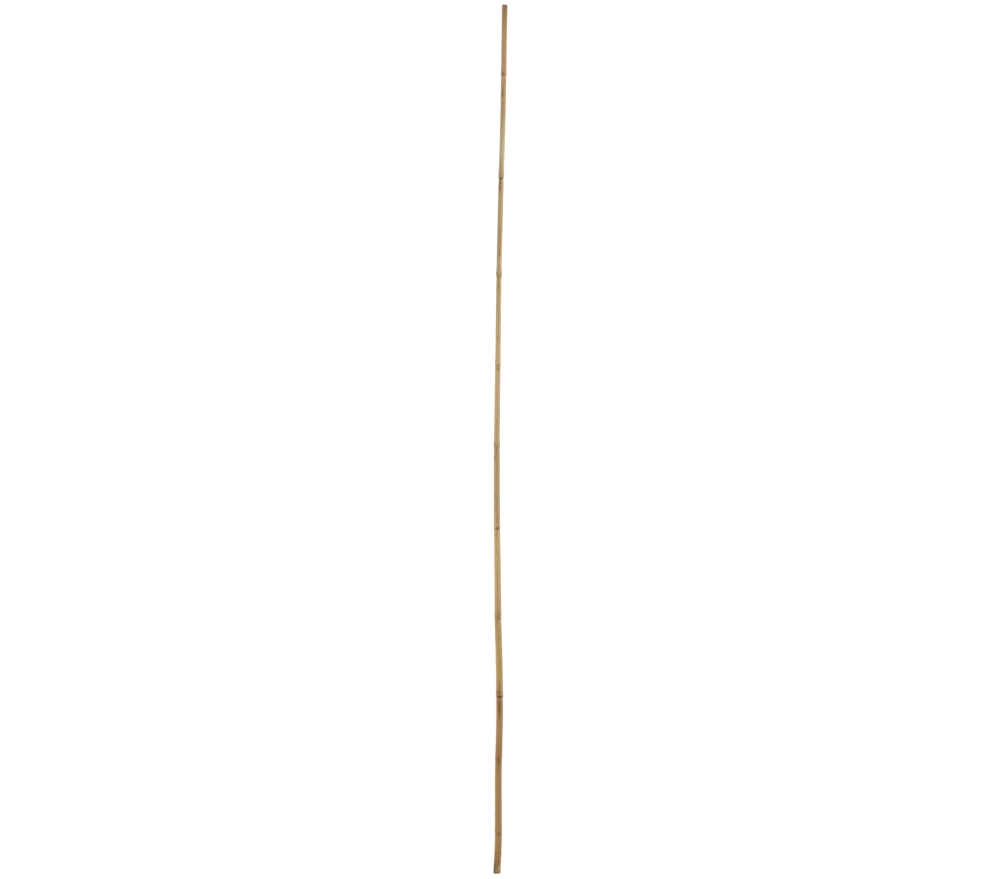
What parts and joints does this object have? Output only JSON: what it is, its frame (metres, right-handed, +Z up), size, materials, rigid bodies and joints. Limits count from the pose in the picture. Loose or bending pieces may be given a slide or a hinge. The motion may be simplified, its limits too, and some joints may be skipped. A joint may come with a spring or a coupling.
{
  "type": "bamboo cane",
  "caption": "Slim bamboo garden cane, sawn square at both ends, tapering from butt to tip, with swollen nodes and a slight natural bow.",
  "frame": {"origin": "on the ground under the middle of the cane, halfway along its length and halfway across its bow", "axes": "+Y along the cane from the thick butt to the thin tip, +X to the side the tip leans to, +Z up from the ground the cane lies on"},
  "size_m": [0.0292, 1.8, 0.0159],
  "materials": {
    "culm": "satin"
  },
  "bodies": {
    "root": {"bamboo_cane": "culm"}
  },
  "joints": []
}
